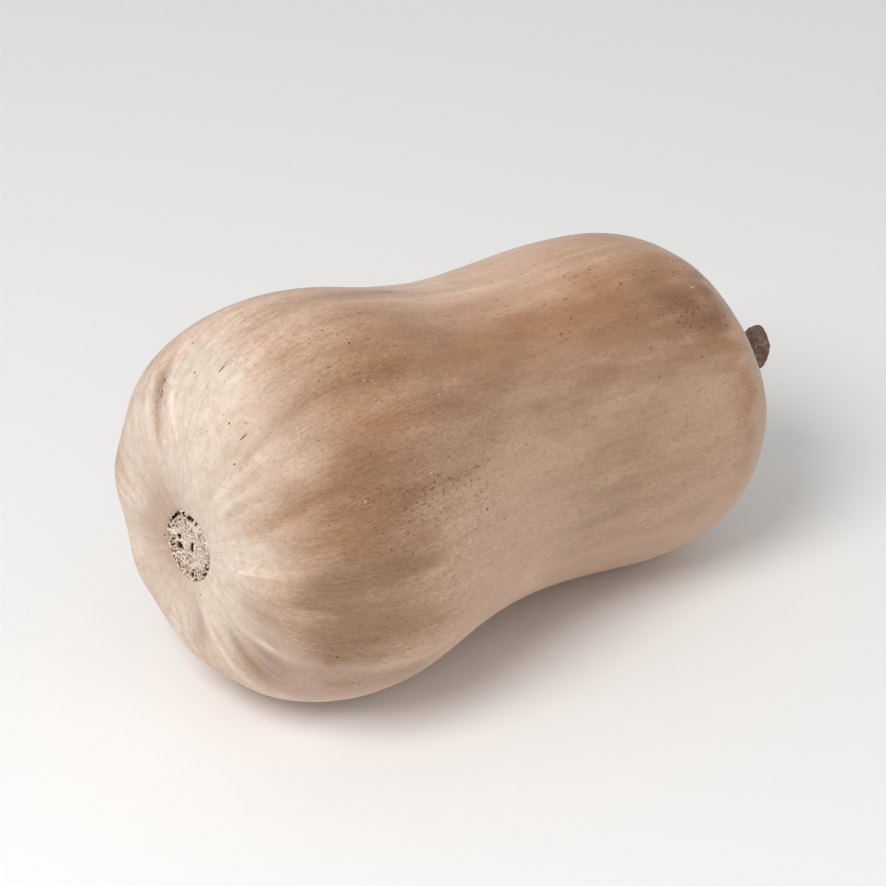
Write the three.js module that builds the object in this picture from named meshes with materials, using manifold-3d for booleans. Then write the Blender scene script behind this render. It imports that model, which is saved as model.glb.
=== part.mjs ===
// A butternut squash lying on its side, as picked, with a short stub of stem.
// Millimetres, +Z up. X runs along the fruit from the blossom end to the stem, the surface it lies
// on is z = 0, and the origin is on that surface under the middle of the squash.
import * as THREE from "three";
import { NURBSCurve } from "three/addons/curves/NURBSCurve.js";
import { mergeVertices } from "three/addons/utils/BufferGeometryUtils.js";
import Module from "manifold-3d";

const wasm = await Module();
wasm.setup();

// Half outline of the fruit: the control polygon of a cubic B-spline, as [distance from the
// blossom end, distance from the axis].
const outlineFrame = [
  [0.8, 0],
  [1.1, 39.3],
  [10, 55.3],
  [31, 66.5],
  [59.5, 68.2],
  [88, 59.2],
  [116.5, 54.5],
  [145, 56.7],
  [176, 59],
  [202.5, 51.7],
  [218, 13.2],
  [219.3, 0],
];
const sides = 90; // faces round the fruit
const narrowing = 0.96; // how much narrower than high a section is

// The spine sags towards the neck, which is thinner than the bulb, and bows sideways.
const bulbAt = { along: 50, lift: 66.9 };
const neckAt = { along: 165, lift: 57.7 };
const flatDepth = 0.7; // skin pressed flat where the fruit rests
const bow = 8.2; // sideways, from the ends to the middle
const blossomReach = 66; // length over which the blossom end turns off the spine
const blossomTurn = { side: 6.4, lift: -2.9 };
const blossomShift = { side: 1.8, lift: -2.4, reach: 25 }; // the middle of the blossom end lies off the axis
const stemReach = 62; // the same at the stem end
const stemTurn = { side: -3.5, lift: 7 };

// Relief of the skin. Angles are in degrees round the axis, from the top towards -Y.
const blossomDimple = { depth: 3, radius: 17 };
const stemCavity = { depth: 4, radius: 13 };
const ribs = [
  { at: 8, height: 1.5, reach: 12 },
  { at: 44, height: 1.2, reach: 12 },
  { at: 80, height: 1.4, reach: 12 },
  { at: 116, height: 1.5, reach: 11 },
  { at: 155, height: 1.2, reach: 11 },
  { at: 194, height: 1.2, reach: 13 },
  { at: 232, height: 1.4, reach: 13 },
  { at: 271, height: 1.4, reach: 13 },
  { at: 310, height: 1.5, reach: 16 },
];
const ribFade = 75; // length over which the ribs run out towards the neck
const ribsLeft = 0.12; // share of their height beyond that
const ribMean = 0.75; // taken off all round, so that ribs stand out by as much as furrows sink in
const wave = { height: 0.6, still: 330, long: 50, short: 36 }; // slow swells; none at `still`
const dents = [
  { along: 20, at: 150, reach: [22, 30], height: -1.3 },
  { along: 6, at: 275, reach: [10, 20], height: 0.9 },
  { along: 8, at: 192, reach: [10, 15], height: -0.8 },
  { along: 75, at: 129, reach: [22, 25], height: -0.8 },
  { along: 192, at: 110, reach: [20, 30], height: -0.7 },
  { along: 208, at: 42, reach: [12, 26], height: -1.1 },
];

// The corky scar of the flower in the middle of the blossom end.
const scar = { radius: 12, proud: 0.5, rimDepth: 1, rimWidth: 1.1, pits: 26, crust: 0.3 };

// Stub of stem: distance from the cavity's floor and radius at each station.
const stemStations = [
  [-3, 8],
  [0, 9.4],
  [3, 7.8],
  [7, 6.7],
  [12, 6.6],
  [16, 7.5],
];
const stemTip = { length: 17.5, edge: 1.4, hollow: 1.2, slant: 2 }; // the cut's top edge is further out
const stemRidges = { count: 5, height: 0.25 };
const stemSides = 40;
const stemRise = 0.3; // seat of the stem above the fruit's axis
const stemGap = 0.3; // between the stem and its seat in the fruit

const fruitColour = 0xc9a88a;
const stemColour = 0x6e5a4c;

const onAxis = 0.001; // nearer to the axis than this is the end of the fruit
const smooth = THREE.MathUtils.smoothstep;
const radians = THREE.MathUtils.degToRad;
const degrees = THREE.MathUtils.radToDeg;
const bell = (value, width) => Math.exp(-((value / width) ** 2));
const total = (list) => list.reduce((sum, item) => sum + item, 0);
const steps = (from, to, count) => Array.from({ length: count }, (_, i) => from + ((to - from) * i) / count);

// The control polygon is mirrored across the axis at both ends, so the outline meets it squarely.
function outlineCurve() {
  const across = ([along, out]) => [along, -out];
  const frame = [across(outlineFrame[1]), ...outlineFrame, across(outlineFrame.at(-2))];
  const degree = 3;
  const knots = Array.from({ length: frame.length + degree + 1 }, (_, i) => i);
  const points = frame.map(([along, out]) => new THREE.Vector2(out, along));
  const curve = new NURBSCurve(degree, knots, points, degree, frame.length);
  curve.arcLengthDivisions = 2000;
  return curve;
}

// Points of the outline, close together over the scar and in the stem's cavity.
function outlinePoints() {
  const curve = outlineCurve();
  const length = curve.getLength();
  const spots = [
    ...steps(0, scar.radius + 2, 12),
    ...steps(scar.radius + 2, 60, 9),
    ...steps(60, length - 24, 26),
    ...steps(length - 24, length, 8),
    length,
  ];
  const points = spots.map((spot) => curve.getPointAt(spot / length));
  points[0].x = 0;
  points.at(-1).x = 0;
  return points.map((point) => new THREE.Vector2(point.x, point.y));
}

// Degrees between two angles round the axis, by the shorter way.
function apart(around, at) {
  return THREE.MathUtils.euclideanModulo(around - at + 180, 360) - 180;
}

function ribRelief(along, out, around) {
  const crests = ribs.map((rib) => rib.height * bell(apart(around, rib.at), rib.reach));
  const share = ribsLeft + (1 - ribsLeft) * bell(along, ribFade);
  return share * smooth(out, scar.radius, 3 * scar.radius) * (total(crests) - ribMean);
}

// Slow swells all over, and the fruit's own dents.
function lumpRelief(along, out, around) {
  const turn = radians(around - wave.still);
  const double = Math.sin(2 * turn) * Math.cos(along / wave.long);
  const triple = Math.sin(3 * turn) * Math.sin(along / wave.short);
  const dented = dents.map((dent) => {
    const [length, width] = dent.reach;
    return dent.height * bell(along - dent.along, length) * bell(apart(around, dent.at), width);
  });
  const swells = wave.height * (double + 0.7 * triple) * smooth(out, 0, bulbAt.along);
  return swells + total(dented) * smooth(out, scar.radius, 2.5 * scar.radius);
}

// A low crust, proud of the dimple's floor, inside a pitted furrow.
function scarRelief(out, around) {
  const angle = radians(around);
  const [p, q] = [out * Math.cos(angle), out * Math.sin(angle)];
  const inside = 1 - smooth(out, scar.radius - 0.8, scar.radius + 0.8);
  const pitted = 0.65 + 0.35 * Math.cos(scar.pits * angle);
  const grain = Math.sin(2.3 * p + 1) * Math.sin(1.9 * q) + 0.6 * Math.sin(1.1 * p - 2.7 * q);
  const furrow = scar.rimDepth * pitted * bell(out - scar.radius + 0.9, scar.rimWidth);
  return scar.proud * inside - furrow + scar.crust * grain * inside * smooth(out, 0, 2);
}

function skinRelief(along, out, around) {
  if (along > bulbAt.along) {
    const cavity = along > neckAt.along ? stemCavity.depth * bell(out, stemCavity.radius) : 0;
    return ribRelief(along, out, around) + lumpRelief(along, out, around) - cavity;
  }
  const dimple = blossomDimple.depth * bell(out, blossomDimple.radius);
  return ribRelief(along, out, around) + lumpRelief(along, out, around) + scarRelief(out, around) - dimple;
}

// Where the fruit's axis lies at a distance from the blossom end.
function spine(along) {
  const slope = (neckAt.lift - bulbAt.lift) / (neckAt.along - bulbAt.along);
  const middle = outlineFrame.at(-1)[0] / 2;
  const nearBlossom = Math.max(0, 1 - along / blossomReach) ** 2;
  const nearStem = Math.max(0, 1 - (2 * middle - along) / stemReach) ** 2;
  const bend = bow * (0.5 - (along / middle - 1) ** 2);
  return {
    side: bend + blossomTurn.side * nearBlossom + stemTurn.side * nearStem,
    lift:
      bulbAt.lift - flatDepth + slope * (along - bulbAt.along) +
      blossomTurn.lift * nearBlossom + stemTurn.lift * nearStem,
  };
}

// Centre of the stem cavity's floor, and the way the stem points.
function stemSeat() {
  const end = outlineFrame.at(-1)[0];
  const [here, before] = [spine(end), spine(end - 10)];
  return {
    foot: new THREE.Vector3(end - stemCavity.depth, here.side, here.lift + stemRise),
    way: new THREE.Vector3(10, here.side - before.side, here.lift - before.lift).normalize(),
  };
}

// Turned about +X: the angle round the axis starts at the top and runs towards -Y.
function turned(points, count) {
  return new THREE.LatheGeometry(points, count).rotateZ(-Math.PI / 2);
}

function fruitGeometry() {
  const geometry = turned(outlinePoints(), sides);
  const { position, normal } = geometry.attributes;
  const [point, outward] = [new THREE.Vector3(), new THREE.Vector3()];
  for (let i = 0; i < position.count; i++) {
    point.fromBufferAttribute(position, i);
    outward.fromBufferAttribute(normal, i);
    const [along, out] = [point.x, Math.hypot(point.y, point.z)];
    if (out < onAxis) outward.set(Math.sign(outward.x), 0, 0);
    const around = degrees(Math.atan2(-point.y, point.z));
    point.addScaledVector(outward, skinRelief(along, out, around));
    const axis = spine(along);
    const shifted = along < bulbAt.along ? bell(out, blossomShift.reach) : 0;
    const side = axis.side + shifted * blossomShift.side;
    const lift = axis.lift + shifted * blossomShift.lift;
    position.setXYZ(i, point.x, point.y * narrowing + side, point.z + lift);
  }
  return geometry;
}

// The stem along +X from its foot, `grown` larger all over.
function stemGeometry(grown) {
  const stations = stemStations.map(([along, out]) => new THREE.Vector2(out + grown, along));
  const side = new THREE.SplineCurve(stations);
  const { length, edge, hollow, slant } = stemTip;
  const rim = side.getPoint(1).x;
  const points = [
    new THREE.Vector2(0, stemStations[0][0] - grown),
    new THREE.Vector2(stemStations[0][1] + grown, stemStations[0][0] - grown),
    ...side.getPoints(12).slice(1),
    new THREE.Vector2(rim - 0.3 * edge, length - 0.3 * edge),
    new THREE.Vector2(rim - edge, length),
    new THREE.Vector2(rim / 2, length - 0.6 * hollow),
    new THREE.Vector2(0, length - hollow),
  ];
  const geometry = turned(points, stemSides);
  const { position } = geometry.attributes;
  for (let i = 0; i < position.count; i++) {
    const [y, z] = [position.getY(i), position.getZ(i)];
    const out = Math.hypot(y, z);
    const ridge = stemRidges.height * Math.cos(stemRidges.count * Math.atan2(-y, z)) * smooth(out, 0, rim);
    const scale = out > 0 ? (out + ridge) / out : 1;
    const cut = slant * (z / rim) * smooth(position.getX(i), 0, length);
    position.setXYZ(i, position.getX(i) + cut, y * scale, z * scale);
  }
  const { foot, way } = stemSeat();
  const turn = new THREE.Quaternion().setFromUnitVectors(new THREE.Vector3(1, 0, 0), way);
  return geometry.applyQuaternion(turn).translate(foot.x, foot.y, foot.z);
}

function solidFrom(geometry) {
  geometry.deleteAttribute("normal");
  geometry.deleteAttribute("uv");
  const merged = mergeVertices(geometry, 1e-4);
  const vertProperties = merged.attributes.position.array;
  const triVerts = new Uint32Array(merged.index.array);
  return new wasm.Manifold(new wasm.Mesh({ numProp: 3, vertProperties, triVerts }));
}

function meshFrom(solid, name, colour, roughness) {
  const { vertProperties, triVerts } = solid.getMesh();
  const geometry = new THREE.BufferGeometry();
  geometry.setAttribute("position", new THREE.BufferAttribute(vertProperties, 3));
  geometry.setIndex(new THREE.BufferAttribute(triVerts, 1));
  geometry.computeVertexNormals();
  const material = new THREE.MeshStandardMaterial({ color: colour, roughness, metalness: 0 });
  const mesh = new THREE.Mesh(geometry, material);
  mesh.name = name;
  return mesh;
}

// The fruit, with its underside pressed flat on z = 0 and a seat for the foot of the stem.
function fruit() {
  const ground = new THREE.BoxGeometry(400, 300, 100).translate(100, 0, -50);
  const pressed = solidFrom(fruitGeometry()).subtract(solidFrom(ground));
  return meshFrom(pressed.subtract(solidFrom(stemGeometry(stemGap))), "fruit", fruitColour, 0.55);
}

function stem() {
  return meshFrom(solidFrom(stemGeometry(0)), "stem", stemColour, 0.9);
}

const squash = new THREE.Group();
squash.add(fruit(), stem());
const middle = new THREE.Box3().setFromObject(squash).getCenter(new THREE.Vector3());
squash.position.set(-middle.x, -middle.y, 0);

export default squash;
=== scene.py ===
import math
import bpy
import numpy as np
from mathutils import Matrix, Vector


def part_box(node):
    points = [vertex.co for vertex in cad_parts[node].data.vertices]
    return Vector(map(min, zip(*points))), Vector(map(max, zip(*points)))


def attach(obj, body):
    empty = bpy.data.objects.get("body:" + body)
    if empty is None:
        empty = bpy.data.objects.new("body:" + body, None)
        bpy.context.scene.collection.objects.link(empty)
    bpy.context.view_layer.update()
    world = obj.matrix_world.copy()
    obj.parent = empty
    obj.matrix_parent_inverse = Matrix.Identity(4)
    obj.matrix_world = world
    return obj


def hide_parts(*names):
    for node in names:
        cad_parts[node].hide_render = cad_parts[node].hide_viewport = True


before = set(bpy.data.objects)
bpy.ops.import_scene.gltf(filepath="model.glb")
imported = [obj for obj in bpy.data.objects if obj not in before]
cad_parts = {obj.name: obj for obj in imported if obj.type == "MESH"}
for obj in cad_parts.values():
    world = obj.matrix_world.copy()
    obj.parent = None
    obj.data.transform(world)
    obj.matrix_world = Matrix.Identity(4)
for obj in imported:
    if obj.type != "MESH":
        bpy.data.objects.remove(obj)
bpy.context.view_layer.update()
mm = 0.001  # lengths below are in millimetres, and meshes are made in metres
print("frame loaded:", ", ".join(sorted(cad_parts)))


# Small maths shared by the shapes

cellKeys = np.array([374761393, 668265263, 2147483647])  # big numbers that scramble a cell's place
seedKey = 1274126177
stirs = [(13, 1103515245), (16, 12345677), (11, 1664525)]  # bits to shift by, and a factor
lowBits = 0x7FFFFFFF
grainMargin = 0.15  # scattered points stay this far inside their cells


def smooth(value, low, high):
    t = np.clip((value - low) / (high - low), 0, 1)
    return t * t * (3 - 2 * t)


def bell(value, width):
    return np.exp(-(value / width) ** 2)


def apart(around, at):  # degrees from one angle round the axis to another, the shorter way
    return (around - at + 180) % 360 - 180


def chance(cell, seed):  # a fixed random number from 0 to 1 for each whole-numbered cell
    key = cell @ cellKeys[:cell.shape[-1]] + seed * seedKey
    for bits, factor in stirs:
        key = (key ^ (key >> bits)) * factor & lowBits
    return key / lowBits


def softNoise(points, size, seed):  # smooth random values from -1 to 1, blobs of about this size
    scaled = points / size
    cell = np.floor(scaled).astype(np.int64)
    t = scaled - cell
    t = t * t * (3 - 2 * t)
    total = 0
    for corner in np.ndindex(*[2] * points.shape[-1]):
        share = np.prod(np.where(corner, t, 1 - t), axis=-1)
        total = total + share * (2 * chance(cell + corner, seed) - 1)
    return total


def grains(points, seed):  # distances to the nearest two of scattered points, and the nearest one's chance
    cell = np.floor(points).astype(np.int64)
    nearest = np.full(points.shape[:-1], np.inf)
    second = nearest.copy()
    luck = np.zeros(points.shape[:-1])
    for step in np.ndindex(3, 3):
        at = cell + step - 1
        inCell = np.stack([chance(at, seed), chance(at, seed + 1)], -1)
        spot = at + grainMargin + (1 - 2 * grainMargin) * inCell
        away = np.hypot(*np.moveaxis(points - spot, -1, 0))
        closer = away < nearest
        second = np.where(closer, nearest, np.minimum(second, away))
        luck = np.where(closer, chance(at, seed + 2), luck)
        nearest = np.where(closer, away, nearest)
    return nearest, second, luck


def patches(along, around, spots):  # soft patches on the skin, each (along, around, length, width, strength)
    total = 0
    for middle, at, length, width, strength in spots:
        total = total + strength * bell(along - middle, length) * bell(apart(around, at), width)
    return total


# The fruit's form: the same outline, spine and ribs as its solid

fruitShape = {
    "outline": [(0.8, 0), (1.1, 39.3), (10, 55.3), (31, 66.5), (59.5, 68.2), (88, 59.2),
                (116.5, 54.5), (145, 56.7), (176, 59), (202.5, 51.7), (218, 13.2), (219.3, 0)],
    "narrowing": 0.96,
    "bulbAt": (50, 66.9),  # along the fruit, height of its axis
    "neckAt": (165, 57.7),
    "flatDepth": 0.7,
    "bow": 8.2,
    "blossomReach": 66,
    "blossomTurn": (6.4, -2.9),  # sideways, up
    "blossomShift": (1.8, -2.4, 25),  # sideways, up, reach
    "stemReach": 62,
    "stemTurn": (-3.5, 7),
    "blossomDimple": (3, 17),  # depth, radius
    "stemCavity": (4, 13),
    "ribs": [(8, 1.5, 12), (44, 1.2, 12), (80, 1.4, 12), (116, 1.5, 11), (155, 1.2, 11),
             (194, 1.2, 13), (232, 1.4, 13), (271, 1.4, 13), (310, 1.5, 16)],  # angle, height, reach
    "ribFade": 75,
    "ribsLeft": 0.12,
    "ribMean": 0.75,
    "waveHeight": 0.6,
    "tripleShare": 0.7,
    "waveStill": 330,
    "waveLong": 50,
    "waveShort": 36,
    "dents": [(20, 150, 22, 30, -1.3), (6, 275, 10, 20, 0.9), (8, 192, 10, 15, -0.8),
              (75, 129, 22, 25, -0.8), (192, 110, 20, 30, -0.7), (208, 42, 12, 26, -1.1)],
    "scarRadius": 12,
}
fruitLength = fruitShape["outline"][-1][0]
drumRadius = 60  # of the drum that the skin's textures are laid out on


def outlineTable(steps=80):  # the B-spline as arc length, along, out, and the way it faces
    frameAlong, frameOut = np.array(fruitShape["outline"]).T
    frameAlong = np.concatenate([frameAlong[1:2], frameAlong, frameAlong[-2:-1]])
    frameOut = np.concatenate([-frameOut[1:2], frameOut, -frameOut[-2:-1]])
    t = np.linspace(0, 1, steps, endpoint=False)
    second, third = 3 * t**3 - 6 * t**2 + 4, -3 * t**3 + 3 * t**2 + 3 * t + 1
    weights = np.stack([(1 - t) ** 3, second, third, t**3], 1) / 6
    spans = range(len(frameAlong) - 3)
    tip = (frameAlong[-3] + 4 * frameAlong[-2] + frameAlong[-1]) / 6
    along = np.concatenate([weights @ frameAlong[i:i + 4] for i in spans] + [[tip]])
    out = np.concatenate([weights @ frameOut[i:i + 4] for i in spans] + [[0]])
    arc = np.concatenate([[0], np.cumsum(np.hypot(np.diff(along), np.diff(out)))])
    faceAlong, faceOut = -np.gradient(out, arc), np.gradient(along, arc)
    return arc, along, out, faceAlong, faceOut


outline = outlineTable()
outlineEnd = outline[0][-1]


def ribRelief(along, out, around):
    crests = sum(height * bell(apart(around, at), reach) for at, height, reach in fruitShape["ribs"])
    share = fruitShape["ribsLeft"] + (1 - fruitShape["ribsLeft"]) * bell(along, fruitShape["ribFade"])
    radius = fruitShape["scarRadius"]
    return share * smooth(out, radius, 3 * radius) * (crests - fruitShape["ribMean"])


def lumpRelief(along, out, around):
    turn = np.radians(around - fruitShape["waveStill"])
    double = np.sin(2 * turn) * np.cos(along / fruitShape["waveLong"])
    triple = np.sin(3 * turn) * np.sin(along / fruitShape["waveShort"])
    waves = double + fruitShape["tripleShare"] * triple
    swells = fruitShape["waveHeight"] * waves * smooth(out, 0, fruitShape["bulbAt"][0])
    radius = fruitShape["scarRadius"]
    return swells + patches(along, around, fruitShape["dents"]) * smooth(out, radius, 2.5 * radius)


def hollowRelief(along, out):
    dimple, cavity = fruitShape["blossomDimple"], fruitShape["stemCavity"]
    middle = fruitLength / 2
    return -np.where(along < middle, dimple[0] * bell(out, dimple[1]), cavity[0] * bell(out, cavity[1]))


def spine(along):
    (bulbAlong, bulbLift), (neckAlong, neckLift) = fruitShape["bulbAt"], fruitShape["neckAt"]
    slope = (neckLift - bulbLift) / (neckAlong - bulbAlong)
    nearBlossom = np.clip(1 - along / fruitShape["blossomReach"], 0, None) ** 2
    nearStem = np.clip(1 - (fruitLength - along) / fruitShape["stemReach"], 0, None) ** 2
    bend = fruitShape["bow"] * (0.5 - (2 * along / fruitLength - 1) ** 2)
    side = bend + fruitShape["blossomTurn"][0] * nearBlossom + fruitShape["stemTurn"][0] * nearStem
    lift = bulbLift - fruitShape["flatDepth"] + slope * (along - bulbAlong)
    lift = lift + fruitShape["blossomTurn"][1] * nearBlossom + fruitShape["stemTurn"][1] * nearStem
    return side, lift


def skinPoints(arc, around, relief):  # points of the skin, `relief` above the ribbed form
    along, out, faceAlong, faceOut = (np.interp(arc, outline[0], column) for column in outline[1:])
    height = ribRelief(along, out, around) + lumpRelief(along, out, around)
    height = height + hollowRelief(along, out) + relief
    side, lift = spine(along)
    shiftSide, shiftLift, shiftReach = fruitShape["blossomShift"]
    shifted = np.where(along < fruitShape["bulbAt"][0], bell(out, shiftReach), 0)
    turn = np.radians(around)
    reach = out + faceOut * height
    x = along + faceAlong * height
    y = side + shifted * shiftSide - fruitShape["narrowing"] * reach * np.sin(turn)
    z = np.maximum(lift + shifted * shiftLift + reach * np.cos(turn), 0)
    return np.stack(np.broadcast_arrays(x, y, z), -1), along, out


def skinPlace(along, around):  # where a shader finds itself: round a drum, and along it
    turn = np.radians(around)
    return np.stack(np.broadcast_arrays(drumRadius * np.cos(turn), drumRadius * np.sin(turn), along), -1)


def frameShift():
    arc, around = np.linspace(0, outlineEnd, 400)[:, None], np.linspace(0, 360, 360)[None]
    points, *_ = skinPoints(arc, around, 0)
    low, high = points.reshape(-1, 3).min(0), points.reshape(-1, 3).max(0)
    boxLow, boxHigh = (np.array(corner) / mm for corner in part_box("fruit"))
    return np.array([boxLow[0] - low[0], (boxLow[1] + boxHigh[1] - low[1] - high[1]) / 2, 0])


shift = frameShift()
print("shift to the frame, mm:", shift.round(2))


# Meshes

def newPiece(name, points, faces):  # from points in the fruit's own millimetres
    mesh = bpy.data.meshes.new(name)
    mesh.from_pydata([tuple((point + shift) * mm) for point in points], [], faces)
    mesh.shade_smooth()
    piece = bpy.data.objects.new(name, mesh)
    bpy.context.collection.objects.link(piece)
    return piece


def turnedMesh(name, rings, marks, poles):  # a closed skin from rings of points, a point at each pole
    count = rings.shape[1]
    points = [poles[0][0], *rings.reshape(-1, 3), poles[1][0]]
    last = len(points) - 1
    index = np.arange(rings.shape[0] * count).reshape(-1, count) + 1
    near, far = index[:-1], index[1:]
    quads = np.stack([near, far, np.roll(far, -1, 1), np.roll(near, -1, 1)], -1).reshape(-1, 4).tolist()
    caps = [(0, int(a), int(b)) for a, b in zip(index[0], np.roll(index[0], -1))]
    caps += [(last, int(b), int(a)) for a, b in zip(index[-1], np.roll(index[-1], -1))]
    piece = newPiece(name, points, quads + caps)
    mesh = piece.data
    for mark, values in marks.items():
        ends = poles[0][1][mark], poles[1][1][mark]
        flat = np.concatenate([np.ravel(ends[0]), np.ravel(values), np.ravel(ends[1])]).astype(np.float32)
        if np.ndim(values) == 3:
            mesh.attributes.new(mark, "FLOAT_VECTOR", "POINT").data.foreach_set("vector", flat)
        else:
            mesh.attributes.new(mark, "FLOAT", "POINT").data.foreach_set("value", flat)
    mesh.update()
    return piece


def dress(piece, node, finish):
    piece.data.materials.append(finish.material)
    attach(piece, "root")
    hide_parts(node)
    print(piece.name + ":", len(piece.data.polygons), "faces")


# Shaders written as sums

class Signal:  # a socket that adds and multiplies like a number
    def __init__(self, finish, socket):
        self.finish, self.socket = finish, socket

    def sum(self, operation, first, second):
        return self.finish.node("Math", {"operation": operation}, {0: first, 1: second})

    def __add__(self, other):
        return self.sum("ADD", self, other)

    def __radd__(self, other):
        return self.sum("ADD", other, self)

    def __sub__(self, other):
        return self.sum("SUBTRACT", self, other)

    def __rsub__(self, other):
        return self.sum("SUBTRACT", other, self)

    def __mul__(self, other):
        return self.sum("MULTIPLY", self, other)

    def __rmul__(self, other):
        return self.sum("MULTIPLY", other, self)


class Finish:  # one material
    def __init__(self, name):
        self.material = bpy.data.materials.new(name)
        self.material.use_nodes = True
        self.tree = self.material.node_tree
        self.shader = self.tree.nodes["Principled BSDF"]

    def node(self, kind, settings, inputs, output=0):
        made = self.tree.nodes.new("ShaderNode" + kind)
        for setting, value in settings.items():
            setattr(made, setting, value)
        for socket, value in inputs.items():
            self.plug(made.inputs[socket], value)
        return Signal(self, made.outputs[output])

    def plug(self, socket, value):
        if isinstance(value, Signal):
            self.tree.links.new(value.socket, socket)
        else:
            socket.default_value = value

    def set(self, **inputs):  # sockets of the shader, with their spaces left out
        for socket in self.shader.inputs:
            name = socket.name.replace(" ", "")
            if name in inputs:
                self.plug(socket, inputs[name])

    def mark(self, name):
        return self.node("Attribute", {"attribute_name": name}, {}, "Fac")

    def place(self, name, stretch=(1, 1, 1), moved=(0, 0, 0)):
        at = self.node("Attribute", {"attribute_name": name}, {}, "Vector")
        return self.node("VectorMath", {"operation": "MULTIPLY_ADD"}, {0: at, 1: stretch, 2: moved})

    def noise(self, vector, size, detail=3.0, rough=0.5):
        inputs = {"Vector": vector, "Scale": 1 / size, "Detail": detail, "Roughness": rough}
        return self.node("TexNoise", {}, inputs, "Fac")

    def ease(self, value, low, high):  # from 0 at `low` to 1 at `high`
        inputs = {"Value": value, "From Min": low, "From Max": high}
        return self.node("MapRange", {"interpolation_type": "SMOOTHSTEP"}, inputs)

    def mix(self, mask, first, second, way="MIX"):
        settings = {"data_type": "RGBA", "blend_type": way}
        return self.node("Mix", settings, {0: mask, 6: first, 7: second}, 2)

    def texture(self, name, stretch, moved, size, detail, rough):
        return self.noise(self.place(name, stretch, moved), size, detail, rough)

    def bump(self, height, distance):  # distance in millimetres
        return self.node("Bump", {}, {"Height": height, "Distance": distance * mm})


def colour(red, green, blue):  # a colour as a screen shows it, 0 to 255
    linear = [((c / 255 + 0.055) / 1.055) ** 2.4 if c > 10 else c / 3294.6 for c in (red, green, blue)]
    return (*linear, 1)


# The corky scar of the flower, in the middle of the blossom end

scarLook = {
    "rings": 100,
    "sides": 480,
    "middle": 0.4,  # height of the crust in the very middle
    "thick": 3,
    "radius": 12,
    "ragged": [(3.2, 0.3), (1.1, 0.18)],  # how the edge strays, as (size, distance)
    "narrow": (112, 38, 1.3),  # the rim is flatter on one side: around, reach, depth
    "grain": 1.35,  # size of the cork's cells
    "rimGrain": (1.1, 1.35),  # size of the rim's cells, across it and along it
    "rimFrom": (6.5, 9),  # out from the middle, where the rim's cells take over
    "wall": 0.22,
    "wallGap": (0.05, 0.3),
    # pits as (radius of the floor, radius of the mouth, luck of the shallowest, luck of the deepest)
    "pits": (0.18, 0.45, 0.4, 0.75),
    "rimPits": (0.34, 0.6, 0.1, 0.4),
    "calmRim": (70, 45, 0.6),  # shallower pits on this side of the rim: around, reach, share
    "pitDepth": 0.75,
    "swell": 0.42,
    "swells": [(3.6, 0.22), (0.55, 0.06)],  # size, height
    # holes as (up, across, radius, depth)
    "holes": [
        (-1.8, -5.2, 1.3, 1.4), (1.2, -5.5, 1.05, 1.3), (-0.9, -8.3, 0.5, 0.9), (-0.4, -10.4, 0.6, 0.7),
        (-5.6, -9.2, 0.75, 1.2), (-7.6, -8, 0.6, 1.1), (-8.6, -5.6, 0.7, 0.9), (-5.2, -6, 0.45, 0.7),
        (-10.8, -3.6, 0.6, 1), (-11.1, -1.9, 0.65, 1), (-9.5, 1.6, 0.75, 0.9), (-11.3, 0.4, 0.6, 0.9),
        (-9.9, 4.2, 0.5, 0.7), (3.6, 9.2, 0.55, 1), (-2.1, 9.2, 0.8, 1.1), (-3.6, 9.3, 0.75, 1.1),
        (-6.4, 8.3, 0.45, 0.8),
    ],
    # raised pale ridges, each a course of (up, across)
    "ridges": [
        [(1.4, -10.6), (1.9, -8.4), (1.9, -6.9)], [(-1, -7), (0.3, -4.4), (1, -1.9)],
        [(-7, -9.3), (-6.3, -7.3), (-4.2, -4.9), (-2.9, -2.7)],
        [(10.6, -0.5), (10, 1.8), (9, 3.6), (8.9, 6.6)], [(9.2, 0.2), (8, 3.4), (6.4, 6.2), (4.3, 7.9)],
        [(-10.6, -2.7), (-10.7, 0), (-10.9, 2.3)], [(-5, 7.6), (-2.6, 8.1), (-0.4, 8.9)],
    ],
    "ridgeWidth": 0.42,
    "ridgeWander": (1.6, 0.35),
    "holeRagged": (0.6, 0.25),
    "holeSlope": (0.55, 1.25),  # from the floor's edge to the mouth's, as shares of the radius
    "slit": {"up": 0.2, "across": 1.2, "lean": 0.15, "halfLong": 2, "halfWide": 1, "depth": 1.4},
    # the open crack round the rim, as (around, reach in degrees, depth)
    "cracks": [
        (-77, 6, 1.6), (-62, 5.5, 1.4), (-49, 6.5, 1.7), (-36, 7, 1.9), (-22, 6, 1.5), (-8, 6.5, 1.7),
        (5, 7, 1.7), (15, 3.5, 1), (25, 3, 0.7),
    ],
    "crackIn": (1, 0.75),  # in from the edge, half width
    "crackWander": (2.1, 0.45),
    "crust": colour(204, 180, 162),
    "wallTone": colour(240, 226, 212),
    # a cork brown, also the painted shade of shallow hollows, and a near black that is the painted shade of
    # the deepest holes and cracks
    "hollowTone": colour(136, 108, 86),
    "deepTone": colour(24, 18, 15),
    "roughness": 0.85,
    "crumb": (0.7, 0.25),  # size, height
}


def scarEdge(around):  # radius of the scar, a little ragged
    turn = np.radians(around)
    rim = scarLook["radius"] * np.stack([np.cos(turn), np.sin(turn)], -1)
    ragged = sum(far * softNoise(rim, size, 41 + k) for k, (size, far) in enumerate(scarLook["ragged"]))
    at, reach, depth = scarLook["narrow"]
    return scarLook["radius"] + ragged - depth * bell(apart(around, at), reach)


def awayFrom(course, points):  # distance to a line through the places of the course
    nearest = np.inf
    for start, end in zip(np.array(course[:-1]), np.array(course[1:])):
        way = end - start
        t = np.clip((points - start) @ way / (way @ way), 0, 1)
        nearest = np.minimum(nearest, np.linalg.norm(points - start - t[..., None] * way, axis=-1))
    return nearest


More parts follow.
